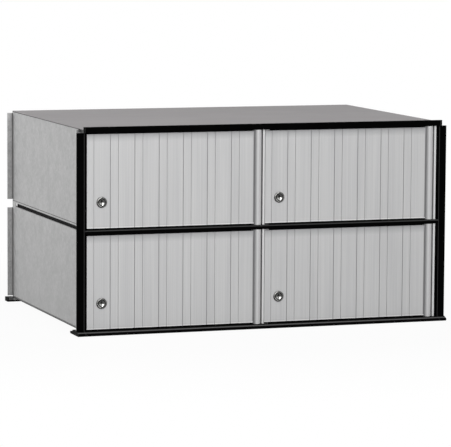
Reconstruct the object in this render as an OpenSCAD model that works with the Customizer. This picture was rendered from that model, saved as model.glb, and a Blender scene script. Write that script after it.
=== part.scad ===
// Mailbox unit: two tiers of two fluted doors in a black frame, sheet body open at the back.
// X is the width, the front faces -Y, +Z is up. The origin is the centre of the footprint.
// Profiles are drawn from the front plane of the stiles, which is moved to face_y at the end.

/* [Cabinet] */
// Width over the outer edges of the stiles
unit_w = 610; // [540:5:760]
// Depth from the front of the stiles to the rear flanges
body_d = 406; // [260:1:520]
// Height of the fluted panel of a door
door_h = 144; // [110:1:200]
// Gap above and below the panel of a door
door_gap = 2.25; // [1:0.25:4]
// Gap between a stile and the bay beside it
edge_gap = 3.4; // [2.5:0.1:5]
// Thickness of the folded sheet
sheet_t = 1; // [0.8:0.1:1.4]
// Width of the inward flanges of the sheet pieces
flange_w = 8.5; // [6:0.5:8.5]

/* [Frame] */
// Height of the face of the base rail
base_face = 7; // [7:0.5:12]
// Height of the face of the middle rail
mid_face = 7; // [6.3:0.1:12]
// Height of the face of the top rail
top_face = 9.25; // [8:0.25:14]
// Width of the outward flange of a stile
stile_flange = 10.4; // [9:0.1:14]
// Thickness of the outward flange of a stile
stile_flange_t = 2.5; // [2:0.1:3]
// Thickness of the web of a stile
stile_web = 2.7; // [2:0.1:3.5]
// Depth of the web of a stile
stile_d = 22.5; // [22:0.5:26]
// Height by which the rounded web edge stands in front of the flange
ridge_out = 0.8; // [0.2:0.1:1.5]
// Reach of the base rail in front of the stiles
nose_out = 11; // [9:0.5:16]
// Reach of the base plate behind the front of the stiles
base_back = 35; // [34:0.5:60]
// Thickness of the base plate
base_plate_t = 3.5; // [2.5:0.25:4]
// Reach of the top rail in front of the stiles
top_out = 4.5; // [4:0.5:14]
// Thickness of the upstand of the top rail
top_lip_t = 2; // [1.5:0.25:3]
// Thickness of the web of the top rail
top_web_t = 5; // [3:0.25:5.5]
// Reach of the middle rail in front of the stiles
mid_out = 3; // [3:0.5:6]
// Radius of the upper front edge of the middle rail
mid_round = 3; // [0.5:0.25:3]
// Radius of the lower front edge of the middle rail
mid_low_round = 1.5; // [0.5:0.25:2]
// Depth of a rail behind the front of the stiles
rail_back = 17; // [17:0.5:17.5]
// Height of the stops behind the doors
stop_h = 5.5; // [3:0.5:9]
// Thickness of the stops behind the doors
stop_t = 2; // [1.2:0.2:2]
// Gap between a closed door and its stops
stop_gap = 1; // [0.5:0.1:1.2]

/* [Doors] */
// Thickness of the door panel
door_t = 3; // [2.5:0.1:3.2]
// Width of the raised bands
band_w = 25.3; // [16:0.1:29]
// Distance from one raised band to the next
band_pitch = 39.1; // [34:0.1:50]
// Distance from the free edge to the first raised band
first_band = 11; // [8:0.1:14]
// Depth of the sunk bands
flute_d = 0.5; // [0.3:0.1:0.9]
// Width of the fine line at the left of a sunk band
line_w = 1.3; // [0.6:0.1:1.6]
// Width of the fine line at the right of a sunk band
far_line_w = 0.3; // [0.2:0.1:1.5]
// Depth of the fine lines below the sunk band
line_d = 0.8; // [0.3:0.1:1]
// Radius of the hinge barrel
barrel_r = 6.35; // [5:0.05:6.5]
// Distance of the hinge axis behind the front of the stiles
hinge_y = 1.8; // [1.5:0.1:2]
// Clearance at each end of the barrel
barrel_end = 0.25; // [0.2:0.05:0.5]
// Radius of the hinge pin
pin_r = 2.4; // [1.8:0.1:3]
// Radial clearance of the pin and of the lock plug
run_fit = 0.05; // [0.02:0.01:0.08]
// Depth to which a pin stands in a rail
pin_seat = 2.4; // [1.5:0.1:2.4]

/* [Hinge posts] */
// Width of the bright strip of a post
strip_w = 3.2; // [3:0.1:5]
// Gap between a barrel and the strip
strip_gap = 1.65; // [1.2:0.05:3]
// Gap between the centre strip and the next door
next_gap = 1.3; // [0.7:0.1:2]
// Reach of the strip in front of the stiles
strip_out = 1; // [0:0.1:2]
// Depth of the solid front of a post
strip_d = 6; // [6:0.1:7]
// Thickness of the fins and the web of a post
fin_t = 1.6; // [1.2:0.1:2]
// Width of the fin behind the barrel
fin_w = 16; // [12:0.5:20]
// Gap between a barrel and the fin behind it
fin_gap = 1.05; // [0.6:0.05:1.5]
// Width by which a keeper reaches behind a door
keeper_w = 8; // [6:0.5:9]
// Depth of the web of the centre posts
centre_web = 20; // [19.5:0.5:20.5]
// Outer radius of a screw channel
channel_r = 2.9; // [2.6:0.1:3]
// Radius of the screws in the channels
screw_r = 1.5; // [1.2:0.1:1.7]

/* [Locks] */
// Distance of the lock from the free edge of the door
lock_in = 23.4; // [20.5:0.1:28]
// Height of the lock above the lower edge of the door
lock_z = 39.7; // [30:0.1:90]
// Radius of the ring around the lock
ring_r = 8.5; // [8.5:0.1:11]
// Radius of the rounded edge of the ring
ring_edge_r = 1.6; // [1:0.1:1.9]
// Height of the ring
ring_t = 2; // [1.2:0.1:3]
// Radius of the lock housing
housing_r = 7.5; // [7:0.1:8]
// Radius of the lock plug
plug_r = 4.9; // [4.5:0.1:5.5]
// Reach of the plug in front of the ring
plug_out = 0.8; // [0.5:0.1:2]
// Radius of the hollow in the face of the plug
dish_r = 8; // [7:0.5:20]
// Width of the sloped groove around the plug
groove_w = 1.5; // [0.8:0.1:1.6]
// Depth of the groove around the plug
groove_d = 1.6; // [0.5:0.1:1.8]
// Width of the key slot
slot_w = 1.3; // [0.8:0.1:2]
// Height of the key slot
slot_h = 7.2; // [5:0.1:7.6]
// Depth of the key slot
slot_d = 3.6; // [2:0.1:5]
// Gap between the stops and the cam
cam_gap = 1.1; // [0.6:0.1:1.6]
// Length of the cam from its axis to its tip
cam_l = 22; // [20:0.5:23]
// Width of the cam
cam_w = 13; // [11:0.5:14]
// Thickness of the cam
cam_t = 2; // [1.5:0.1:2.2]
// Side of the square drive
drive_w = 6; // [5:0.1:6.5]
// Thickness of the lock nut
nut_t = 2.8; // [2:0.1:3.5]
// Width of the lock nut across its flats
nut_af = 19; // [17.5:0.5:22]

/* [Rear rail and mounting] */
// Depth of the rear rail behind the rear flanges
rear_out = 15; // [12:0.5:24]
// Thickness of the foot strip under the rear rail
foot_t = 2.5; // [1.5:0.5:3]
// Thickness of the caps on the ends of the rear rail
cap_t = 2; // [1.5:0.25:4]
// Seat of the bottom sheet on the rear rail
rear_seat = 2; // [2:0.5:4]
// Wall of the rear rail
rear_wall = 2; // [1.5:0.1:3]
// Distance of the bolt holes from the ends of the rails
bolt_inset = 35; // [28:1:90]
// Radius of the bolt holes
bolt_r = 2.75; // [2:0.05:3]
// Radius of the access holes above the front bolts
access_r = 6; // [5:0.25:8]

/* [Hidden] */
$fn = 48;

// Colours of the real finishes
BLACK = "#141414";
DOOR = "#c3c3c4";
SHEET = "#b2b2b2";
TOP = "#9c9a9b";
STEEL = "#c9c9c6";

// Overlap of shapes that are one solid
join_over = 0.4;

// Across the width
half_w = unit_w / 2;
side_in = stile_flange - sheet_t;
web_in = stile_flange + stile_web;
bay_w = half_w - web_in - edge_gap;
hinge_x = bay_w - next_gap - strip_w - strip_gap - barrel_r;
strip_x = hinge_x + barrel_r + strip_gap;
channel_y = stile_d - 0.6 - channel_r;
notch_in = web_in + 2 * channel_r + 0.6;

// Up the front
open_h = door_h + 2 * door_gap;
mid_z = base_face + open_h;
upper_z = mid_z + mid_face;
top_z = upper_z + open_h;
unit_h = top_z + top_face;

// From the front to the back
face_y = (nose_out - body_d - rear_out) / 2;
stop_y = door_t + stop_gap;
cam_y = stop_y + stop_t + cam_gap;
fin_y = hinge_y + barrel_r + fin_gap;
post_channel_y = fin_y + fin_t + channel_r - join_over;
flange_y = stile_d + 1;
rib_back = stile_d;
floor_y = rib_back - 2;
bolt_y = (rib_back + base_back) / 2;
bolt_back_y = body_d + rear_out / 2;

// Levels of the sheet pieces
sheet_gap = 6.3;
hem_h = 2.6;
side_drop = 2.8;
fold_line = 1;
fold_line_d = 0.7 * sheet_t;
low_side_z = base_face + sheet_t;
low_side_top = upper_z - side_drop;
hem_z = low_side_top + sheet_gap;
shelf_z = hem_z + hem_h - sheet_t;
up_side_z = shelf_z + sheet_t;
roof_z = top_z + top_web_t;
strip_back = 2.2;
strip_rubber = 5;
rear_flange_cut = 2.5;
rear_block = 20;
down_flange = 10;
flange_back = 2;
flange_short = 0.3;
rail_gap = 0.2;

// Fasteners
rivet_r = 1.6;
rivet_head_r = 2.7;
rivet_end = 30;
row_y = flange_y + 20;
row_end = 30;
head_t = 1.1;
sink_r = 3;
rail_sink_r = 2.6;
end_head_r = 2.2;
end_head_t = 1.3;
end_socket_r = 1.1;
end_socket_d = 0.9;
end_screw_l = 10;
end_screw_y = 9.3;
end_screw_z = top_z + top_web_t / 2;
drill_more = 1;
stop_end = 2;
keeper_free = 0.3;
frame_screw_reach = 8;
rail_screw_l = 14;
dowel_reach = 8;
cam_free = 0.1;
pilot_d = 4;
plug_rim = 0.5;

function bay_x(c) = c == 0 ? -half_w + web_in + edge_gap : 0;
function open_z(t) = t == 0 ? base_face : upper_z;
// Rivet places along the depth, evenly spaced between the folded ends of the sheet
function along_depth(n) = [for (i = [0 : n - 1]) row_y + i * (body_d - row_end - row_y) / (n - 1)];

// A profile in (y, z), extruded from x0 to x1 and set at the front plane
module along_x(x0, x1) {
    translate([x0, face_y, 0]) rotate([90, 0, 90]) linear_extrude(x1 - x0) children();
}

// A profile in (x, y), extruded from z0 to z1 and set at the front plane
module along_z(z0, z1) {
    translate([0, face_y, z0]) linear_extrude(z1 - z0) children();
}

// A plain block between two corners, measured from the front plane
module block(a, b) {
    translate([a[0], face_y + a[1], a[2]]) cube([b[0] - a[0], b[1] - a[1], b[2] - a[2]]);
}

// A round bar or hole along one axis, from p, with length l
module rod_x(p, r, l) {
    translate([p[0], face_y + p[1], p[2]]) rotate([0, 90, 0]) cylinder(r = r, h = l);
}
module rod_y(p, r, l) {
    translate([p[0], face_y + p[1], p[2]]) rotate([-90, 0, 0]) cylinder(r = r, h = l);
}
module rod_z(p, r, l) {
    translate([p[0], face_y + p[1], p[2]]) cylinder(r = r, h = l);
}

// A part of one bay and tier: children are drawn from the bay's corner at the front plane
module in_bay(c, t) {
    translate([bay_x(c), face_y, open_z(t)]) children();
}

// The same shape on the right, seen in a mirror
module on_side(s) {
    if (s < 0) children();
    else mirror([1, 0, 0]) children();
}

// Stiles: outward flange, rounded web, screw channel and, on the left, the keeper for the cams
module stile_profile(keeper) {
    difference() {
        union() {
            translate([-half_w, 0]) square([stile_flange + join_over, stile_flange_t]);
            translate([-half_w + stile_flange, stile_web / 2 - ridge_out])
                square([stile_web, stile_d + ridge_out - stile_web / 2]);
            translate([-half_w + stile_flange + stile_web / 2, stile_web / 2 - ridge_out])
                circle(r = stile_web / 2);
            translate([-half_w + web_in + channel_r, channel_y]) circle(r = channel_r);
            translate([-half_w + web_in - join_over, channel_y - channel_r / 2])
                square([channel_r, channel_r]);
            if (keeper)
                translate([-half_w + web_in - join_over, stop_y])
                    square([edge_gap + keeper_w + join_over, stop_t]);
        }
        translate([-half_w + web_in + channel_r, channel_y]) circle(r = screw_r);
    }
}

module stile(s) {
    color(BLACK) on_side(s) difference() {
        along_z(base_face, top_z) stile_profile(s < 0);
        block([-half_w + web_in, -mid_out, mid_z], [0, stile_d + 1, upper_z]);
        rail_screw_shape(run_fit, drill_more);
        for (t = [0, 1], z = side_rivet_z(t))
            rod_x([-half_w + stile_flange - drill_more, side_rivet_y(), z], rivet_r, stile_web + 2);
    }
}
module left_stile() { stile(-1); }
module right_stile() { stile(1); }

// Stops on the rails, behind the upper and lower edges of the doors
module door_stops() {
    color(BLACK) for (c = [0, 1], t = [0, 1], z = [open_z(t), open_z(t) + open_h - stop_h])
        block([bay_x(c) + keeper_w + keeper_free, stop_y, z],
              [bay_x(c) + hinge_x - barrel_r - stop_end, stop_y + stop_t, z + stop_h]);
}

// Holes for the hinge pins, from z0 upwards
module pin_holes(z0, l) {
    for (c = [0, 1]) rod_z([bay_x(c) + hinge_x, hinge_y, z0], pin_r + run_fit, l);
}

// Places of the screw channels: both stiles, then the posts of both bays
module at_channels() {
    for (s = [-1, 1]) translate([s * (half_w - web_in - channel_r), face_y + channel_y, 0]) children();
    at_posts() children();
}
module at_posts() {
    for (c = [0, 1])
        translate([bay_x(c) + post_channel_x(), face_y + post_channel_y, 0]) children();
}
function post_web_x() = strip_x + strip_w - fin_t;
function post_channel_x() = post_web_x() - channel_r + join_over;

// A countersunk screw pointing up, with its head flush at z = 0. Its hole is wider by extra and reaches
// past both ends by lead
module sunk_screw(head_r, l, extra = 0, lead = 0) {
    rotate_extrude() polygon(concat(
        [[0, -lead], [head_r + extra, -lead]],
        lead > 0 ? [[head_r + extra, 0]] : [],
        [[screw_r + extra, head_r - screw_r], [screw_r + extra, l + lead], [0, l + lead]]
    ));
}

module base_profile() {
    polygon([
        [base_back, 0], [-nose_out + 2.5, 0], [-nose_out, 1.6], [-nose_out, 3.2],
        [-nose_out + 0.8, 4], [-strip_out - 1, base_face], [rib_back, base_face],
        [rib_back, base_plate_t], [base_back, base_plate_t]
    ]);
}

module base_rail() {
    color(BLACK) difference() {
        along_x(-half_w, half_w) base_profile();
        pin_holes(base_face - pin_seat, pin_seat + drill_more);
        at_channels() sunk_screw(sink_r, base_face, 0, drill_more);
        for (s = [-1, 1]) rod_z([s * (half_w - bolt_inset), bolt_y, -drill_more], bolt_r, base_face + 2);
    }
}

module middle_profile() {
    edges = [[mid_low_round, mid_z + mid_low_round], [mid_round, upper_z - mid_round]];
    translate([-mid_out + mid_round, mid_z]) square([rail_back + mid_out - mid_round, mid_face]);
    translate([-mid_out + mid_low_round, mid_z]) square([mid_round, mid_face - mid_round]);
    translate([-mid_out, mid_z + mid_low_round])
        square([mid_round, mid_face - mid_round - mid_low_round]);
    for (e = edges) translate([-mid_out + e[0], e[1]]) circle(r = e[0]);
}

module middle_rail() {
    color(BLACK) difference() {
        union() {
            along_x(-half_w + web_in, half_w - web_in) middle_profile();
            block([-half_w + notch_in, rail_back - join_over, upper_z - 2],
                  [half_w - notch_in, stile_d + 1.5, upper_z]);
        }
        pin_holes(mid_z - drill_more, pin_seat + drill_more);
        pin_holes(upper_z - pin_seat, pin_seat + drill_more);
        at_posts() translate([0, 0, mid_z - drill_more]) cylinder(r = screw_r, h = mid_face + 2);
        for (s = [-1, 1]) on_side(s) rail_screw_shape(0, 0);
    }
}

module top_profile() {
    polygon([
        [-top_out + 0.6, top_z], [stile_d, top_z], [stile_d, roof_z],
        [-top_out + top_lip_t, roof_z], [-top_out + top_lip_t, unit_h],
        [-top_out + 0.6, unit_h], [-top_out, unit_h - 0.6], [-top_out, top_z + 0.6]
    ]);
}

module top_rail() {
    color(BLACK) difference() {
        along_x(-half_w + side_in, half_w - side_in) top_profile();
        pin_holes(top_z - drill_more, roof_z - top_z + 2);
        at_channels() translate([0, 0, roof_z]) mirror([0, 0, 1])
            sunk_screw(sink_r, top_web_t, 0, drill_more);
        for (s = [-1, 1]) on_side(s)
            rod_x([-half_w + side_in - drill_more, end_screw_y, end_screw_z], screw_r,
                  end_screw_l + drill_more);
    }
}

// Rear rail: an upward channel that the bottom sheet rests on, on a foot strip of black plastic
rear_y0 = body_d - rear_seat;
rear_y1 = body_d + rear_out;
rail_end = half_w - cap_t;

module rear_bolt_holes() {
    for (s = [-1, 1]) rod_z([s * (half_w - bolt_inset), bolt_back_y, -drill_more], bolt_r, base_face);
}

module rear_rail() {
    color(SHEET) difference() {
        block([-rail_end, rear_y0, foot_t], [rail_end, rear_y1, base_face]);
        block([-half_w, rear_y0 + rear_wall, foot_t + rear_wall],
              [half_w, rear_y1 - rear_wall, base_face + drill_more]);
        rear_bolt_holes();
    }
}

module rear_foot_strip() {
    color(BLACK) difference() {
        block([-rail_end, rear_y0, 0], [rail_end, rear_y1, foot_t]);
        rear_bolt_holes();
    }
}

module rear_end_caps() {
    color(BLACK) for (s = [-1, 1]) on_side(s)
        block([-half_w, rear_y0, 0], [-rail_end, rear_y1, base_face]);
}

// Side panels: sheet with outward front and rear flanges and inward flanges along its floor
function side_rivet_y() = channel_y - channel_r - rivet_head_r - 0.4;
function side_rivet_z(t) = t == 0
    ? [base_face + rivet_end, mid_z - rivet_end]
    : [upper_z + rivet_end, top_z - rivet_end];

module side_panel(t) {
    z0 = t == 0 ? low_side_z : up_side_z;
    z1 = t == 0 ? low_side_top : roof_z;
    x0 = -half_w + side_in;
    x1 = x0 + sheet_t;
    front = stile_flange_t;
    flange_top = t == 0 ? z1 : top_z;
    color(SHEET) difference() {
        union() {
            block([x0, front, z0], [x1, body_d, z1]);
            block([-half_w, front, z0], [x1, front + sheet_t, flange_top]);
            block([-half_w + flange_short, body_d - sheet_t, z0 + rear_flange_cut],
                  [x1, body_d, z1 - rear_flange_cut]);
            block([x0, flange_y, z0], [x1 + flange_w, body_d - flange_back, z0 + sheet_t]);
            if (t == 0)
                block([x0, flange_y, z1 - sheet_t], [x1 + flange_w, body_d - flange_back, z1]);
        }
        if (t == 1) {
            block([x0 - 1, -1, top_z], [x1 + 1, stile_d + rail_gap, unit_h]);
            for (r = [[z0 - 1, z0 + fold_line], [z1 - fold_line, z1 + 1]])
                block([x0 - 1, front + sheet_t, r[0]], [x0 + fold_line_d, body_d - sheet_t, r[1]]);
            for (y = along_depth(4)) rod_x([x0 - 1, y, roof_rivet_z()], rivet_r, 3);
        }
        for (z = side_rivet_z(t)) rod_x([x0 - 1, side_rivet_y(), z], rivet_r, 3);
        for (y = along_depth(4)) rod_z([x1 + flange_w / 2, y, z0 - 1], rivet_r, 3);
    }
}
module upper_left_side() { on_side(-1) side_panel(1); }
module upper_right_side() { on_side(1) side_panel(1); }
module lower_left_side() { on_side(-1) side_panel(0); }
module lower_right_side() { on_side(1) side_panel(0); }

// Top sheet: lies on the side panels and the top rail, with flanges inside the panels
function roof_rivet_z() = roof_z - down_flange / 2;

module top_sheet() {
    color(TOP) difference() {
        union() {
            block([-half_w + side_in, -top_out + top_lip_t, roof_z],
                  [half_w - side_in, body_d, roof_z + sheet_t]);
            for (s = [-1, 1]) on_side(s)
                block([-half_w + stile_flange, flange_y, roof_z - down_flange],
                      [-half_w + stile_flange + sheet_t, body_d - flange_back, roof_z + join_over]);
            block([-half_w + web_in, body_d - sheet_t, roof_z - down_flange / 2],
                  [half_w - web_in, body_d, roof_z + join_over]);
        }
        for (s = [-1, 1], y = along_depth(4)) on_side(s)
            rod_x([-half_w + stile_flange - 1, y, roof_rivet_z()], rivet_r, 3);
    }
}

// Middle shelf: floor of the upper tier, on the middle rail and the lower side panels
module middle_shelf() {
    x0 = -half_w + side_in;
    color(SHEET) difference() {
        union() {
            block([x0, flange_y, shelf_z], [-x0, body_d, shelf_z + sheet_t]);
            block([-half_w + notch_in, floor_y, shelf_z],
                  [half_w - notch_in, flange_y + 1, shelf_z + sheet_t]);
            block([-half_w + notch_in, floor_y, upper_z],
                  [half_w - notch_in, floor_y + sheet_t, shelf_z + join_over]);
            for (s = [-1, 1]) on_side(s) {
                block([x0, stile_flange_t + sheet_t, hem_z], [x0 + sheet_t, body_d, shelf_z + sheet_t]);
                block([x0, body_d - rear_block, low_side_top], [x0 + sheet_t, body_d, hem_z + 1]);
            }
        }
        for (s = [-1, 1], y = along_depth(4)) on_side(s)
            rod_z([-half_w + stile_flange + flange_w / 2, y, shelf_z - 1], rivet_r, 3);
        for (y = along_depth(4)) rod_z([partition_rivet_x(), y, shelf_z - 1], rivet_r, 3);
    }
}

// Black rubber strips that close the gap between the tiers, set back from the outer faces
module tier_strips() {
    x0 = -half_w + side_in + strip_back;
    color(BLACK) for (s = [-1, 1]) on_side(s)
        block([x0, flange_y, low_side_top], [x0 + strip_rubber, body_d - rear_block - 1, shelf_z]);
}

// Bottom sheet: floor of the lower tier, with access holes above the front bolts
module bottom_sheet() {
    color(SHEET) difference() {
        union() {
            block([-half_w + side_in, flange_y, base_face], [half_w - side_in, body_d, low_side_z]);
            block([-half_w + notch_in, floor_y, base_face], [half_w - notch_in, flange_y + 1, low_side_z]);
        }
        for (s = [-1, 1]) {
            rod_z([s * (half_w - bolt_inset), bolt_y, base_face - 1], access_r, 3);
            for (y = along_depth(4)) on_side(s)
                rod_z([-half_w + stile_flange + flange_w / 2, y, base_face - 1], rivet_r, 3);
        }
        for (y = along_depth(4)) rod_z([partition_rivet_x(), y, base_face - 1], rivet_r, 3);
    }
}

// Partitions: a wall behind each centre post, with a flange on the floor and one under the top
function partition_rivet_x() = strip_x + strip_w - bay_w + sheet_t + flange_w / 2;
function post_rivet_z(t) = [open_z(t) + rivet_end, open_z(t) + open_h - rivet_end];

module partition(t) {
    x0 = strip_x + strip_w - bay_w;
    z0 = t == 0 ? low_side_z : up_side_z;
    z1 = t == 0 ? shelf_z : roof_z;
    front_z0 = (t == 0 ? low_side_z : up_side_z) + 1;
    front_z1 = open_z(t) + open_h - 1;
    color(SHEET) difference() {
        union() {
            block([x0, post_channel_y, front_z0], [x0 + sheet_t, flange_y + 1.5, front_z1]);
            block([x0, flange_y + 1, z0], [x0 + sheet_t, body_d - flange_back, z1]);
            block([x0, flange_y + 1, z0], [x0 + sheet_t + flange_w, body_d - flange_back, z0 + sheet_t]);
            block([x0, flange_y + 1, z1 - sheet_t], [x0 + sheet_t + flange_w, body_d - flange_back, z1]);
        }
        for (z = post_rivet_z(t)) rod_x([x0 - 1, post_rivet_y(), z], rivet_r, 3);
        for (y = along_depth(4)) rod_z([partition_rivet_x(), y, z0 - 1], rivet_r, 3);
    }
}
module upper_partition() { partition(1); }
module lower_partition() { partition(0); }

// Hinge posts: bright strip, fin behind the barrel, screw channel and, at the centre, a keeper
function post_rivet_y() = centre_web - rivet_r - 0.2;

module post_profile(c) {
    web_end = c == 0 ? centre_web : post_channel_y;
    difference() {
        union() {
            translate([strip_x, -strip_out]) square([strip_w, strip_d + strip_out]);
            translate([post_web_x(), strip_d - join_over]) square([fin_t, web_end - strip_d + join_over]);
            translate([post_web_x() - fin_w, fin_y]) square([fin_w + join_over, fin_t]);
            translate([post_channel_x(), post_channel_y]) circle(r = channel_r);
            translate([post_channel_x(), fin_y + fin_t - join_over])
                square([channel_r + join_over, channel_r]);
            if (c == 0)
                translate([strip_x + strip_w - join_over, stop_y])
                    square([next_gap + keeper_w + join_over, stop_t]);
        }
        translate([post_channel_x(), post_channel_y]) circle(r = screw_r);
    }
}

module post(c, t) {
    color(DOOR) difference() {
        in_bay(c, t) linear_extrude(open_h) post_profile(c);
        if (c == 0)
            for (z = post_rivet_z(t))
                rod_x([bay_x(0) + post_web_x() - 1, post_rivet_y(), z], rivet_r, fin_t + 2);
    }
}
module upper_centre_post() { post(0, 1); }
module upper_right_post() { post(1, 1); }
module lower_centre_post() { post(0, 0); }
module lower_right_post() { post(1, 0); }

// Hinge pins stand in the rails above and below each opening
module hinge_pin(c, t) {
    color(STEEL) in_bay(c, t)
        translate([hinge_x, hinge_y, -pin_seat]) cylinder(r = pin_r, h = open_h + 2 * pin_seat);
}
module upper_left_pin() { hinge_pin(0, 1); }
module upper_right_pin() { hinge_pin(1, 1); }
module lower_left_pin() { hinge_pin(0, 0); }
module lower_right_pin() { hinge_pin(1, 0); }

// Doors: fluted panel and hinge barrel in one extrusion, the panel cut back at both ends
bands = floor((hinge_x - barrel_r - first_band) / band_pitch);

module flute(x0, x1, first) {
    translate([x0, -1]) square([x1 - x0, 1 + flute_d]);
    if (!first) translate([x0, -1]) square([line_w, 1 + flute_d + line_d]);
    translate([x1 - far_line_w, -1]) square([far_line_w, 1 + flute_d + line_d]);
}

module panel_profile() {
    difference() {
        square([hinge_x - barrel_r / 2, door_t]);
        translate([-1, 0]) flute(0, first_band + 1, true);
        for (i = [1 : bands])
            flute(first_band + (i - 1) * band_pitch + band_w, first_band + i * band_pitch, false);
    }
}

module door(c, t) {
    color(DOOR) in_bay(c, t) difference() {
        union() {
            translate([0, 0, door_gap]) linear_extrude(door_h) panel_profile();
            translate([hinge_x, hinge_y, barrel_end])
                cylinder(r = barrel_r, h = open_h - 2 * barrel_end);
        }
        translate([hinge_x, hinge_y, -1]) cylinder(r = pin_r + run_fit, h = open_h + 2);
        translate([lock_in, -1, door_gap + lock_z]) rotate([-90, 0, 0])
            cylinder(r = housing_r, h = door_t + 2);
    }
}
module upper_left_door() { door(0, 1); }
module upper_right_door() { door(1, 1); }
module lower_left_door() { door(0, 0); }
module lower_right_door() { door(1, 0); }

// Lock parts are drawn around the lock's axis, which points back from the front plane
module at_lock(c, t) {
    in_bay(c, t) translate([lock_in, 0, door_gap + lock_z]) rotate([-90, 0, 0]) children();
}

// Section of the housing: ring with a rounded edge, a groove that slopes down to the plug, and a sleeve
module housing_section() {
    bore = plug_r + run_fit;
    difference() {
        union() {
            translate([bore, -ring_t]) square([ring_r - ring_edge_r - bore, ring_t]);
            translate([bore, -ring_t + ring_edge_r]) square([ring_r - bore, ring_t - ring_edge_r]);
            intersection() {
                translate([ring_r - ring_edge_r, -ring_t + ring_edge_r]) circle(r = ring_edge_r);
                translate([bore, -ring_t]) square([ring_r - bore, ring_t]);
            }
            translate([bore, -join_over]) square([housing_r - bore, cam_y - cam_free + join_over]);
        }
        polygon([
            [bore - 1, -ring_t - 1], [plug_r + groove_w, -ring_t - 1], [plug_r + groove_w, -ring_t],
            [bore, -ring_t + groove_d], [bore - 1, -ring_t + groove_d]
        ]);
    }
}

module lock_housing(c, t) {
    color(STEEL) at_lock(c, t) rotate_extrude() housing_section();
}
module upper_left_lock_housing() { lock_housing(0, 1); }
module upper_right_lock_housing() { lock_housing(1, 1); }
module lower_left_lock_housing() { lock_housing(0, 0); }
module lower_right_lock_housing() { lock_housing(1, 0); }

module lock_nut(c, t) {
    color(STEEL) at_lock(c, t) translate([0, 0, door_t]) difference() {
        cylinder(r = nut_af / sqrt(3), h = nut_t, $fn = 6);
        translate([0, 0, -1]) cylinder(r = housing_r, h = nut_t + 2);
    }
}
module upper_left_lock_nut() { lock_nut(0, 1); }
module upper_right_lock_nut() { lock_nut(1, 1); }
module lower_left_lock_nut() { lock_nut(0, 0); }
module lower_right_lock_nut() { lock_nut(1, 0); }

module lock_plug(c, t) {
    front = -ring_t - plug_out;
    dish_rim = plug_r - plug_rim;
    color(STEEL) at_lock(c, t) difference() {
        union() {
            rotate_extrude() polygon([
                [0, front], [dish_rim, front], [plug_r, front + plug_rim], [plug_r, cam_y], [0, cam_y]
            ]);
            translate([-drive_w / 2, -drive_w / 2, cam_y - join_over])
                cube([drive_w, drive_w, cam_t + join_over]);
        }
        translate([0, 0, front - sqrt(dish_r * dish_r - dish_rim * dish_rim)]) sphere(r = dish_r);
        translate([-slot_w / 2, -slot_h / 2, front - 1]) cube([slot_w, slot_h, slot_d + 1]);
        translate([0, 0, cam_y + cam_t - pilot_d]) cylinder(r = screw_r, h = pilot_d + 1);
    }
}
module upper_left_lock_plug() { lock_plug(0, 1); }
module upper_right_lock_plug() { lock_plug(1, 1); }
module lower_left_lock_plug() { lock_plug(0, 0); }
module lower_right_lock_plug() { lock_plug(1, 0); }

// The cam hangs down when the door is unlocked. In this frame down is +y.
module cam(c, t) {
    color(STEEL) at_lock(c, t) translate([0, 0, cam_y]) linear_extrude(cam_t) difference() {
        union() {
            circle(r = cam_w / 2);
            translate([-cam_w / 2, 0]) square([cam_w, cam_l - 3]);
            translate([-cam_w / 2 + 3, 0]) square([cam_w - 6, cam_l]);
            for (s = [-1, 1]) translate([s * (cam_w / 2 - 3), cam_l - 3]) circle(r = 3);
        }
        square([drive_w, drive_w], center = true);
    }
}
module upper_left_cam() { cam(0, 1); }
module upper_right_cam() { cam(1, 1); }
module lower_left_cam() { cam(0, 0); }
module lower_right_cam() { cam(1, 0); }

module cam_screw(c, t) {
    head = 1.6;
    color(STEEL) at_lock(c, t) translate([0, 0, cam_y + cam_t]) difference() {
        union() {
            cylinder(r = drive_w / 2 + 1, h = head);
            translate([0, 0, -pilot_d]) cylinder(r = screw_r, h = pilot_d + join_over);
        }
        for (a = [0, 90]) rotate([0, 0, a]) translate([-2, -0.4, head - 0.8]) cube([4, 0.8, 2]);
    }
}
module upper_left_cam_screw() { cam_screw(0, 1); }
module upper_right_cam_screw() { cam_screw(1, 1); }
module lower_left_cam_screw() { cam_screw(0, 0); }
module lower_right_cam_screw() { cam_screw(1, 0); }

// Screws up through the base rail and down through the top rail into the channels
module frame_screws() {
    color(STEEL) at_channels() {
        sunk_screw(sink_r, base_face + frame_screw_reach);
        translate([0, 0, roof_z]) mirror([0, 0, 1]) sunk_screw(sink_r, top_web_t + frame_screw_reach);
    }
}

// Screws through the webs of the stiles into the ends of the middle rail
module rail_screw_shape(extra, lead) {
    translate([-half_w + stile_flange, face_y + strip_d / 2, mid_z + mid_face / 2]) rotate([0, 90, 0])
        sunk_screw(rail_sink_r, rail_screw_l, extra, lead);
}
module rail_screws() {
    color(STEEL) for (s = [-1, 1]) on_side(s) rail_screw_shape(0, 0);
}

// Dowels through the middle rail into the channels of the posts above and below it
module post_dowels() {
    color(STEEL) at_posts() translate([0, 0, mid_z - dowel_reach])
        cylinder(r = screw_r, h = mid_face + 2 * dowel_reach);
}

// Screws in the ends of the top rail, with a socket in the head
module end_screws() {
    x = -half_w + side_in;
    color(STEEL) for (s = [-1, 1]) on_side(s) difference() {
        union() {
            rod_x([x - end_head_t, end_screw_y, end_screw_z], end_head_r, end_head_t);
            rod_x([x - join_over, end_screw_y, end_screw_z], screw_r, end_screw_l + join_over);
        }
        rod_x([x - end_head_t - 1, end_screw_y, end_screw_z], end_socket_r, 1 + end_socket_d);
    }
}

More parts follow.
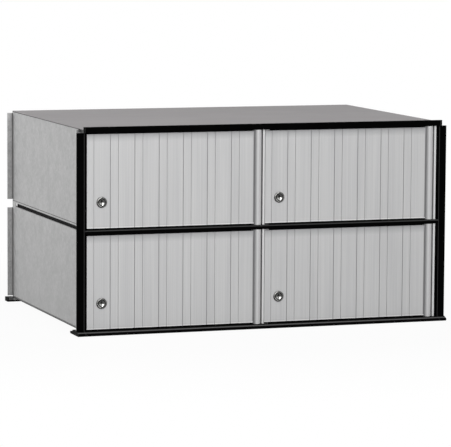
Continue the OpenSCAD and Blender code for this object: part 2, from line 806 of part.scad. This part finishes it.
// A rivet along +x or +z from p: flush tail at p, shank through the stack, head at the far end
module rivet_x(p, stack) {
    rod_x(p, rivet_r, stack + head_t / 2);
    rod_x([p[0] + stack, p[1], p[2]], rivet_head_r, head_t);
}
module rivet_z(p, stack) {
    rod_z(p, rivet_r, stack + head_t / 2);
    rod_z([p[0], p[1], p[2] + stack], rivet_head_r, head_t);
}

module side_rivets() {
    color(SHEET) for (s = [-1, 1], t = [0, 1], z = side_rivet_z(t)) on_side(s)
        rivet_x([-half_w + side_in, side_rivet_y(), z], sheet_t + stile_web);
}

module sheet_rivets() {
    color(SHEET) for (s = [-1, 1], y = along_depth(4)) on_side(s)
        rivet_x([-half_w + side_in, y, roof_rivet_z()], 2 * sheet_t);
}

module shelf_rivets() {
    color(SHEET) for (s = [-1, 1], z = [base_face, shelf_z], y = along_depth(4)) on_side(s)
        rivet_z([-half_w + stile_flange + flange_w / 2, y, z], 2 * sheet_t);
}

module partition_rivets() {
    color(SHEET) for (t = [0, 1]) {
        for (z = post_rivet_z(t))
            rivet_x([bay_x(0) + post_web_x(), post_rivet_y(), z], fin_t + sheet_t);
        for (y = along_depth(4))
            rivet_z([partition_rivet_x(), y, t == 0 ? base_face : shelf_z], 2 * sheet_t);
    }
}

left_stile();
right_stile();
top_rail();
middle_rail();
base_rail();
rear_rail();
rear_foot_strip();
rear_end_caps();
door_stops();
tier_strips();
upper_left_side();
upper_right_side();
lower_left_side();
lower_right_side();
top_sheet();
middle_shelf();
bottom_sheet();
upper_partition();
lower_partition();
upper_centre_post();
upper_right_post();
lower_centre_post();
lower_right_post();
upper_left_pin();
upper_right_pin();
lower_left_pin();
lower_right_pin();
upper_left_door();
upper_right_door();
lower_left_door();
lower_right_door();
upper_left_lock_housing();
upper_right_lock_housing();
lower_left_lock_housing();
lower_right_lock_housing();
upper_left_lock_nut();
upper_right_lock_nut();
lower_left_lock_nut();
lower_right_lock_nut();
upper_left_lock_plug();
upper_right_lock_plug();
lower_left_lock_plug();
lower_right_lock_plug();
upper_left_cam();
upper_right_cam();
lower_left_cam();
lower_right_cam();
upper_left_cam_screw();
upper_right_cam_screw();
lower_left_cam_screw();
lower_right_cam_screw();
frame_screws();
rail_screws();
post_dowels();
end_screws();
side_rivets();
sheet_rivets();
shelf_rivets();
partition_rivets();
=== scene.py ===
"""Mailbox unit in a black frame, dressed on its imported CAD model.

The frame is the CAD model's, in metres: +X along the width, -Y out of the doors, +Z up. Patterns, and the
zones of dirt and wear on the pieces, are in millimetres.
"""
import math

import bpy
import numpy as np
from mathutils import Matrix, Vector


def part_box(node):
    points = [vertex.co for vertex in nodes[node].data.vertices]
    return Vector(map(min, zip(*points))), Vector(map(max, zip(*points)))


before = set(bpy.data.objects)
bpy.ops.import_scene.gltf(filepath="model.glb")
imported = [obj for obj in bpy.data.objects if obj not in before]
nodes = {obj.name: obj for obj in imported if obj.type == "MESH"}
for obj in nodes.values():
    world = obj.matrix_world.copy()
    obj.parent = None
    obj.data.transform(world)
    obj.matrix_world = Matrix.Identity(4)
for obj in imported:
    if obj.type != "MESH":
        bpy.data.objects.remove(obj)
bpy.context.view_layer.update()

MM = 0.001

# Front plane of the stiles, behind their rounded ridges. Then the under side of the top rail, the upper edge
# of the middle rail, and the lower edge of the lower side panels
FACE_Y = -205 * MM
RAIL_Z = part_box("top_rail")[0][2]
SILL_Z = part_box("middle_rail")[1][2]
SIDE_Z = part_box("lower_left_side")[0][2]

# The doors repeat across the width and up the front. A place on any door counts from its lower left corner,
# and so does LOCK, the middle of its lock
DOOR_LOW, DOOR_HIGH = (np.array(p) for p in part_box("lower_left_door"))
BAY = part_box("lower_right_door")[0][0] - DOOR_LOW[0]
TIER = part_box("upper_left_door")[0][2] - DOOR_LOW[2]
LOCK = sum(np.array(p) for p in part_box("lower_left_lock_plug")) / 2 - DOOR_LOW

# Rear edge of the side panels. Then distances from the middle plane, in millimetres: of the side panels'
# outer faces, which are flush with the top rail's ends, and of their flanges' edges
REAR_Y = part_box("upper_right_side")[1][1]
SIDE_X = float(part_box("top_rail")[1][0] / MM)
FLANGE_X = float(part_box("upper_right_side")[1][0] / MM)


# Colours and node helpers

def tint(code):
    """sRGB hex code to a linear RGBA tuple: c/12.92 below 0.04045, else ((c + 0.055)/1.055)^2.4."""
    parts = [int(code[i:i + 2], 16) / 255 for i in (1, 3, 5)]
    return tuple(c / 12.92 if c <= 0.04045 else ((c + 0.055) / 1.055) ** 2.4 for c in parts) + (1.0,)


def add(tree, kind, settings=None, **inputs):
    """Adds one shader node. settings are its attributes, inputs its sockets: a value, or a socket to link.

    An input is given by its name, or by its number after an underscore.
    """
    made = tree.nodes.new(kind)
    for key, value in (settings or {}).items():
        setattr(made, key, value)
    for key, value in inputs.items():
        name = key.replace("_", " ")
        spot = made.inputs[int(key[1:])] if key[1:].isdigit() else made.inputs[name]
        if isinstance(value, bpy.types.NodeSocket):
            tree.links.new(value, spot)
        else:
            spot.default_value = value
    return made


def blank(name):
    """A new material with an empty node tree, and its tree."""
    material = bpy.data.materials.new(name)
    material.use_nodes = True
    material.node_tree.nodes.clear()
    return material, material.node_tree


def place(tree, size):
    """Object coordinates for a pattern of the given size in millimetres along each axis."""
    where = add(tree, "ShaderNodeTexCoord")
    scale = [1 / (length * MM) for length in size]
    return add(tree, "ShaderNodeMapping", Vector=where.outputs["Object"], Scale=scale).outputs[0]


def mottle(tree, size, detail=2.0, rough=0.5):
    """Cloudy pattern from 0 to 1, whose blots have the given size in millimetres along each axis."""
    return add(tree, "ShaderNodeTexNoise", Vector=place(tree, size), Scale=1.0, Detail=detail,
               Roughness=rough).outputs["Fac"]


def sum_of(tree, *terms):
    """Sum of sockets, each times its weight."""
    total = 0.0
    for socket, weight in terms:
        total = add(tree, "ShaderNodeMath", {"operation": "MULTIPLY_ADD"}, _0=socket, _1=weight,
                    _2=total).outputs[0]
    return total


def along(tree, axis, start=0.0):
    """One object coordinate in millimetres, counted from start, which is in metres."""
    where = add(tree, "ShaderNodeTexCoord")
    apart = add(tree, "ShaderNodeSeparateXYZ", Vector=where.outputs["Object"])
    return add(tree, "ShaderNodeMath", {"operation": "MULTIPLY_ADD"}, _0=apart.outputs[axis], _1=1 / MM,
               _2=float(-start / MM)).outputs[0]


def off_centre(tree):
    """Distance from the middle plane of the cabinet, in millimetres."""
    return add(tree, "ShaderNodeMath", {"operation": "ABSOLUTE"}, _0=along(tree, "X")).outputs[0]


def facing_up(tree):
    """Height of the unit normal: 1 on a level top, 0 on an upright face."""
    where = add(tree, "ShaderNodeTexCoord")
    return add(tree, "ShaderNodeSeparateXYZ", Vector=where.outputs["Normal"]).outputs["Z"]


def repeated(tree, axis, start, pitch):
    """One object coordinate in millimetres, counted from start and again from every pitch, both in metres."""
    return add(tree, "ShaderNodeMath", {"operation": "FLOORED_MODULO"}, _0=along(tree, axis, start),
               _1=float(pitch / MM)).outputs[0]


def across_door(tree):
    """Distance from the free edge of a door."""
    return repeated(tree, "X", DOOR_LOW[0], BAY)


def up_door(tree):
    """Height above the lower end of a door's barrel."""
    return repeated(tree, "Z", DOOR_LOW[2], TIER)


def band(socket, low, high, soft):
    """Two edges for a zone that is full from low to high, and fades out over soft on both sides."""
    return (socket, low - soft, low), (socket, high + soft, high)


def zone(tree, *edges):
    """Product of soft edges. Each is a socket, its value where the edge is 0, and its value where it is 1."""
    inside = 1.0
    for socket, none, full in edges:
        edge = add(tree, "ShaderNodeMapRange", Value=socket, From_Min=none, From_Max=full)
        inside = add(tree, "ShaderNodeMath", {"operation": "MULTIPLY"}, _0=edge.outputs[0],
                     _1=inside).outputs[0]
    return inside


def paint(tree, colour, *coats):
    """Lays tints over a colour, one after another. Each coat is its 0 to 1 socket and its sRGB code."""
    for cover, code in coats:
        colour = add(tree, "ShaderNodeMix", {"data_type": "RGBA"}, _0=cover, _6=colour,
                     _7=tint(code)).outputs[2]
    return colour


def shaded(tree, pattern, low, high, first, second):
    """Colour that goes from the first tint to the second as a pattern rises from low to high."""
    return paint(tree, tint(first), (zone(tree, (pattern, low, high)), second))


def finish(tree, colour, pattern, first, second, limits=(0.3, 0.7), scratches=(), **settings):
    """Ends a material. Its roughness goes from first to second as a pattern rises between its limits."""
    rough = add(tree, "ShaderNodeMapRange", Value=pattern, From_Min=limits[0], From_Max=limits[1],
                To_Min=first, To_Max=second).outputs[0]
    if scratches:
        rough = sum_of(tree, (rough, 1.0), *scratches)
    shader = add(tree, "ShaderNodeBsdfPrincipled", Base_Color=colour, Roughness=rough, **settings)
    add(tree, "ShaderNodeOutputMaterial", Surface=shader.outputs[0])


# Materials

def anodised_aluminium():
    """Extruded aluminium, satin anodised: matt and even, with fine die lines that run up the extrusion."""
    material, tree = blank("anodised_aluminium")
    # Die lines about 1 mm apart across the extrusion and as long as the door
    lines = mottle(tree, (1.1, 1.1, 250), detail=3.0)
    # Broad streaks of the anodising, 12 mm wide
    streaks = mottle(tree, (12.5, 12.5, 250))
    shade = sum_of(tree, (lines, 0.6), (streaks, 0.4))
    clean = shaded(tree, shade, 0.35, 0.65, "#aeaeaf", "#b9b9b9")
    depth, across, height = along(tree, "Y", FACE_Y), across_door(tree), up_door(tree)
    # Painted shade in the grooves, 0.6 to 2.3 mm behind the face of the panel
    groove_shade = zone(tree, *band(depth, 0.75, 2.1, 0.2))
    # Painted shade in the crease between the panel and the barrel, 13.2 mm from the door's hinge side
    crease_x = float((DOOR_HIGH[0] - DOOR_LOW[0]) / MM) - 13.2
    crease_shade = zone(tree, (across, crease_x - 0.9, crease_x - 0.3), (across, crease_x + 5.2, crease_x + 0.8),
                  (depth, 1.8, 0.3))
    # A painted shadow of the rail under the upper edge of the panel, and a painted highlight along the corner
    # of its lower edge
    rail_shadow = sum_of(tree, (zone(tree, (height, 134, 146), *band(depth, -0.1, 3, 0.1)), 0.8))
    corner = zone(tree, *band(height, 1.9, 3.0, 0.5), *band(depth, -0.1, 0.6, 0.1))
    # The narrow front strip of a post has a painted highlight, brighter than the doors. It is 3.2 mm wide,
    # and on the centre posts it starts 4.5 mm left of the middle
    strip = zone(tree, (repeated(tree, "X", -4.6 * MM, BAY), 3.4, 3.3), (depth, 1.6, 1.5))
    # The foot of the keeper behind a door's free edge is painted black
    foot = zone(tree, *band(along(tree, "X"), -1.3, 8.3, 0.2), (depth, 3.0, 3.2), (height, 5, 4))
    colour = paint(tree, clean, (groove_shade, "#8c8c8d"), (crease_shade, "#767677"), (rail_shadow, "#8e8e90"),
                   (corner, "#d4d4d4"), (strip, "#c4c4c4"), (foot, "#080808"))
    bump = add(tree, "ShaderNodeBump", Strength=0.15, Distance=0.06 * MM, Height=lines)
    finish(tree, colour, streaks, 0.42, 0.5, Metallic=0.2, Specular_IOR_Level=0.4, Normal=bump.outputs[0])
    return material


def galvanised_sheet():
    """Zinc-coated sheet with a small spangle: grey grains 3 to 5 mm across under a soft mottle."""
    material, tree = blank("galvanised_sheet")
    grains = add(tree, "ShaderNodeTexVoronoi", Vector=place(tree, (4, 4, 4)), Scale=1.0).outputs["Color"]
    grain = add(tree, "ShaderNodeSeparateColor", Color=grains).outputs[0]
    cloud = mottle(tree, (22, 22, 22), detail=4.0, rough=0.6)
    shade = sum_of(tree, (grain, 0.35), (cloud, 0.65))
    clean = shaded(tree, shade, 0.3, 0.7, "#a2a2a2", "#b9b9b9")
    out, depth, height = off_centre(tree), along(tree, "Y", FACE_Y), along(tree, "Z")
    outside = (out, SIDE_X - 0.2, SIDE_X - 0.1)
    # Painted shade in the folded-in lines of the side panels and in the corner of their rear flanges
    fold_shade = zone(tree, *band(out, SIDE_X - 0.85, SIDE_X - 0.25, 0.1))
    corner = zone(tree, (along(tree, "Y", REAR_Y), -1.6, -1.4), *band(out, SIDE_X - 0.2, SIDE_X + 1, 0.8))
    # A painted shadow along the lowest edge of the lower side panels
    bottom_edge_shadow = zone(tree, outside, (along(tree, "Z", SIDE_Z), 2.5, 2.1))
    # A dark patch beside the upper front corners, behind the ends of the top rail
    dark_patch = zone(tree, *band(depth, 2, 32, 1.5), (out, SIDE_X - 10.6, SIDE_X - 9.6),
                  *band(along(tree, "Z", RAIL_Z), -4, 2.4, 0.8))
    # The outer faces are darker by 0.12, and below 160 mm darker still, by up to 0.3 at the floor
    dull = sum_of(tree, (zone(tree, outside), 0.12), (zone(tree, outside, (height, 160, 0)), 0.18))
    # A painted highlight on the sheared edge of the front flange
    edge = zone(tree, (out, FLANGE_X - 0.4, FLANGE_X - 0.2), (depth, 3.8, 3.6))
    colour = paint(tree, clean, (fold_shade, "#3c3c3c"), (corner, "#6e6e6e"), (bottom_edge_shadow, "#1a1a1a"), (dark_patch, "#484848"),
                   (dull, "#8a8a8a"), (edge, "#dedede"))
    finish(tree, colour, grain, 0.42, 0.58, limits=(0, 1), Metallic=0.25, Specular_IOR_Level=0.4)
    return material


def rolled_sheet():
    """Plain rolled sheet of the top: an even grey with faint rolling lines, 2 mm apart, along the width."""
    material, tree = blank("rolled_sheet")
    lines = mottle(tree, (160, 2, 2))
    cloud = mottle(tree, (110, 110, 110))
    colour = shaded(tree, sum_of(tree, (lines, 0.5), (cloud, 0.5)), 0.35, 0.65, "#969394", "#a09d9e")
    finish(tree, colour, cloud, 0.62, 0.66, Metallic=0.1, Specular_IOR_Level=0.15)
    return material


def black_powder_coat():
    """Fine black powder coat on aluminium sections: deep black and satin, with painted grey highlights where
    it stands out.
    """
    material, tree = blank("black_powder_coat")
    # Orange peel about 0.8 mm across
    peel = mottle(tree, (0.8, 0.8, 0.8), detail=1.0)
    cloud = mottle(tree, (33, 33, 33))
    out, depth = off_centre(tree), along(tree, "Y", FACE_Y)
    # Painted highlights on the rounded ridges of the stiles, on the upper round of the middle rail, and on
    # the nose of the base rail where it faces up
    ridge_highlight = zone(tree, *band(out, SIDE_X - 2.7, SIDE_X - 2.1, 0.4), (depth, -0.4, -0.6))
    round_highlight = zone(tree, *band(along(tree, "Z", SILL_Z), -1.9, -0.9, 0.4), (depth, -0.6, -0.8))
    nose_highlight = zone(tree, *band(depth, -7.6, -6.0, 1.5), (facing_up(tree), 0.5, 0.7))
    # Both ends of the top rail are sawn off bare. Their lower part is darker, and near black behind
    # the front edge of the screw
    height = along(tree, "Z", RAIL_Z)
    bare_end = ((out, SIDE_X - 0.1, SIDE_X - 0.05), (height, 0.1, 0.2))
    sawn = zone(tree, *bare_end)
    end_darker_lower = zone(tree, *bare_end, (height, 6.4, 5.4))
    end_darkest_back = zone(tree, *bare_end, (height, 6.4, 5.4), (depth, 6.8, 8.2))
    colour = paint(tree, shaded(tree, cloud, 0, 1, "#030303", "#060606"), (ridge_highlight, "#303030"),
                   (round_highlight, "#3c3c3c"), (nose_highlight, "#5c5c5c"), (sawn, "#a2a2a2"), (end_darker_lower, "#646464"),
                   (end_darkest_back, "#242424"))
    bump = add(tree, "ShaderNodeBump", Strength=0.12, Distance=0.03 * MM, Height=peel)
    finish(tree, colour, cloud, 0.26, 0.34, Specular_IOR_Level=0.004, Normal=bump.outputs[0])
    return material


def black_oxide():
    """Blackened steel of the small screws in the ends of the top rail: dark, dull metal."""
    material, tree = blank("black_oxide")
    wear = mottle(tree, (1.4, 1.4, 1.4), detail=3.0)
    finish(tree, shaded(tree, wear, 0, 1, "#1c1c1c", "#303030"), wear, 0.35, 0.5, Metallic=1.0)
    return material


def black_moulding():
    """Black moulded plastic and rubber of the foot, end caps, stops and strips: flat black, a little grey."""
    material, tree = blank("black_moulding")
    cloud = mottle(tree, (17, 17, 17), detail=3.0)
    finish(tree, shaded(tree, cloud, 0, 1, "#070707", "#0e0e0e"), cloud, 0.5, 0.65, Specular_IOR_Level=0.02)
    return material


def shade_dark_sheet():
    """Bottom sheet in painted shade: matt charcoal with a fine mottle."""
    material, tree = blank("shade_dark_sheet")
    cloud = mottle(tree, (6, 6, 6), detail=4.0)
    finish(tree, shaded(tree, cloud, 0, 1, "#161616", "#222222"), cloud, 0.55, 0.7, Specular_IOR_Level=0.2)
    return material


def nickel_plate():
    """Polished nickel plate of the locks: a dark mirror with faint wear, and painted reflections, highlights
    and shade on and round the plug.
    """
    material, tree = blank("nickel_plate")
    wear = mottle(tree, (1.1, 1.1, 1.1), detail=3.0)
    # A place on a lock counts from its centre: to the right, upwards, outwards, and towards the upper right
    aside = add(tree, "ShaderNodeMath", {"operation": "SUBTRACT"}, _0=across_door(tree),
                _1=float(LOCK[0] / MM)).outputs[0]
    above = add(tree, "ShaderNodeMath", {"operation": "SUBTRACT"}, _0=up_door(tree),
                _1=float(LOCK[2] / MM)).outputs[0]
    spot = add(tree, "ShaderNodeCombineXYZ", X=aside, Y=above)
    reach = add(tree, "ShaderNodeVectorMath", {"operation": "LENGTH"}, _0=spot.outputs[0]).outputs["Value"]
    lean = sum_of(tree, (aside, 0.7), (above, 0.7))
    # Painted reflections on the plug: its upper half is dark, darkest beside the slot, and its lower half
    # bright
    plug, upper_half = (reach, 4.7, 4.3), (above, -0.6, 0.4)
    upper_reflection_shade = zone(tree, plug, upper_half)
    slot_reflection_shade = zone(tree, plug, upper_half, *band(aside, -2.2, -0.5, 0.3))
    lower = zone(tree, plug, (above, -0.4, -0.8))
    # Painted shade in the groove, lighter towards the upper right, and a painted highlight at the groove's
    # lower left
    groove_ring = band(reach, 4.95, 6.2, 0.2)
    groove_shade = zone(tree, *groove_ring)
    groove_shade_lighter = zone(tree, *groove_ring, (lean, 0, 3))
    groove_highlight = zone(tree, *band(reach, 5.0, 6.5, 0.2), (lean, -4.4, -5.2))
    # Painted shade on the rim of the ring at its lower left
    rim = zone(tree, (reach, 7.0, 7.3), (lean, -4.5, -5.5))
    colour = paint(tree, shaded(tree, wear, 0.35, 0.65, "#4c4c4b", "#8c8c8a"), (upper_reflection_shade, "#525251"),
                   (slot_reflection_shade, "#242424"), (lower, "#a6a6a4"), (groove_shade, "#343434"),
                   (groove_shade_lighter, "#6c6c6b"), (groove_highlight, "#dededc"), (rim, "#2e2e2e"))
    # The painted highlight in the groove and the lighter part of the groove's painted shade are rougher,
    # satin
    finish(tree, colour, wear, 0.1, 0.04, scratches=((groove_highlight, 0.4), (groove_shade_lighter, 0.35)), Metallic=1.0)
    return material


def zinc_plate():
    """Zinc-plated steel of screws, pins and cams: grey metal, a little dull and uneven."""
    material, tree = blank("zinc_plate")
    wear = mottle(tree, (1.4, 1.4, 1.4), detail=3.0)
    finish(tree, shaded(tree, wear, 0, 1, "#a9a9a6", "#c6c6c3"), wear, 0.28, 0.4, Metallic=1.0)
    return material


ALUMINIUM = anodised_aluminium()
GALVANISED = galvanised_sheet()
ROLLED = rolled_sheet()
BLACK = black_powder_coat()
MOULDED = black_moulding()
SHADE_DARK = shade_dark_sheet()
BLACKENED = black_oxide()
NICKEL = nickel_plate()
ZINC = zinc_plate()


def material_of(node):
    """The material of a CAD node, by its name."""
    if node.endswith("stile") or node in ("top_rail", "middle_rail", "base_rail"):
        return BLACK
    if node in ("rear_foot_strip", "rear_end_caps", "door_stops", "tier_strips"):
        return MOULDED
    if node.endswith(("door", "post")):
        return ALUMINIUM
    if node == "top_sheet":
        return ROLLED
    # The bottom sheet is dark with painted shade
    if node == "bottom_sheet":
        return SHADE_DARK
    if node.endswith(("housing", "plug")):
        return NICKEL
    if node == "end_screws":
        return BLACKENED
    if node.endswith(("pin", "nut", "cam", "screw", "screws", "dowels")):
        return ZINC
    return GALVANISED


for node, body in nodes.items():
    body.data.materials.clear()
    body.data.materials.append(material_of(node))


# Floor, light and camera

# Strength of the pale world, and the point inside the unit that the lamps are turned to
AMBIENT = 0.24
LAMP_AIM = np.array((0.0, -0.1, 0.16))


def away_white(tree):
    """1 for a ray from the camera, from gloss or through glass, which sees white, and 0 for other light."""
    path = add(tree, "ShaderNodeLightPath")
    gloss = add(tree, "ShaderNodeMath", {"operation": "MAXIMUM"}, _0=path.outputs["Is Glossy Ray"],
                _1=path.outputs["Is Transmission Ray"])
    return add(tree, "ShaderNodeMath", {"operation": "MAXIMUM"}, _0=path.outputs["Is Camera Ray"],
               _1=gloss.outputs[0]).outputs[0]


def white_floor():
    """Matt white floor. Near the unit it keeps a faint shadow, and far from it it is seen as pure white."""
    near, far, share_near = 0.45, 0.9, 0.95
    material, tree = blank("white_floor")
    matt = add(tree, "ShaderNodeBsdfDiffuse", Color=tint("#c8c8c8"))
    white = add(tree, "ShaderNodeEmission", Color=(1, 1, 1, 1), Strength=1.0)
    where = add(tree, "ShaderNodeTexCoord")
    reach = add(tree, "ShaderNodeVectorMath", {"operation": "LENGTH"}, _0=where.outputs["Object"])
    share = add(tree, "ShaderNodeMapRange", Value=reach.outputs["Value"], From_Min=near, From_Max=far,
                To_Min=share_near, To_Max=1.0)
    seen = add(tree, "ShaderNodeMath", {"operation": "MULTIPLY"}, _0=away_white(tree), _1=share.outputs[0])
    mix = add(tree, "ShaderNodeMixShader", _0=seen.outputs[0], _1=matt.outputs[0], _2=white.outputs[0])
    add(tree, "ShaderNodeOutputMaterial", Surface=mix.outputs[0])
    return material


def floor_piece():
    """A flat square, 12 m on a side, just under the unit."""
    half, level = 6.0, -0.2 * MM
    mesh = bpy.data.meshes.new("floor")
    mesh.from_pydata([(-half, -half, level), (half, -half, level), (half, half, level), (-half, half, level)],
                     [], [(0, 1, 2, 3)])
    floor = bpy.data.objects.new("floor", mesh)
    bpy.context.scene.collection.objects.link(floor)
    mesh.materials.append(white_floor())


def studio_world():
    """Even pale world. The camera, gloss and glass see pure white."""
    world = bpy.data.worlds.new("studio")
    bpy.context.scene.world = world
    world.use_nodes = True
    tree = world.node_tree
    tree.nodes.clear()
    pale = add(tree, "ShaderNodeBackground", Color=(1, 1, 1, 1), Strength=AMBIENT)
    white = add(tree, "ShaderNodeBackground", Color=(1, 1, 1, 1), Strength=1.0)
    mix = add(tree, "ShaderNodeMixShader", _0=away_white(tree), _1=pale.outputs[0], _2=white.outputs[0])
    add(tree, "ShaderNodeOutputWorld", Surface=mix.outputs[0])


def backwards(azimuth, elevation):
    """Direction from the unit to a lamp or camera. Azimuth 0 is in front of the doors, 90 on the right."""
    turn, lift = math.radians(azimuth), math.radians(elevation)
    return np.array((math.sin(turn) * math.cos(lift), -math.cos(turn) * math.cos(lift), math.sin(lift)))


def facing(back, roll, spot):
    """The matrix of a lamp or camera at spot whose back points along back, with its right side level."""
    level = np.cross((0, 0, 1), back)
    level /= np.linalg.norm(level)
    above = np.cross(back, level)
    right = level * math.cos(roll) - above * math.sin(roll)
    up = level * math.sin(roll) + above * math.cos(roll)
    turn = Matrix.Identity(4)
    for row in range(3):
        turn[row][0], turn[row][1], turn[row][2] = right[row], up[row], back[row]
        turn[row][3] = spot[row]
    return turn


def soft_lamp(name, azimuth, elevation, distance, size, power):
    """A square area lamp of the given side and power, at a distance from LAMP_AIM and turned to it."""
    lamp = bpy.data.lights.new(name, "AREA")
    lamp.size = size
    lamp.energy = power
    holder = bpy.data.objects.new(name, lamp)
    bpy.context.scene.collection.objects.link(holder)
    back = backwards(azimuth, elevation)
    holder.matrix_world = facing(back, 0.0, LAMP_AIM + distance * back)


def photo_camera():
    """Long lens from the left front and a little above, at the photograph's viewing angle."""
    azimuth, elevation, roll, distance = -19.32, 6.28, -0.355, 4531.5 * MM
    aim = np.array((-65.0, -205.0, 166.0)) * MM
    photo_width_px, focal_px, sensor_mm = 451, 2926.3, 36
    back = backwards(azimuth, elevation)
    lens = bpy.data.cameras.new("photo")
    lens.sensor_width = sensor_mm
    lens.sensor_fit = "HORIZONTAL"
    lens.lens = focal_px / photo_width_px * sensor_mm
    lens.clip_end = 50
    camera = bpy.data.objects.new("photo", lens)
    bpy.context.scene.collection.objects.link(camera)
    camera.matrix_world = facing(back, math.radians(roll), aim + distance * back)
    bpy.context.scene.camera = camera


floor_piece()
studio_world()
# Azimuth and elevation in degrees, distance and side in metres, and power in watts
soft_lamp("high_front", 4, 48, 2.6, 1.0, 22.5)
soft_lamp("low_front", -7, 16, 2.6, 1.2, 31.5)
soft_lamp("rear_left", -125, 22, 2.6, 1.4, 30)
photo_camera()
bpy.context.scene.view_settings.view_transform = "Standard"
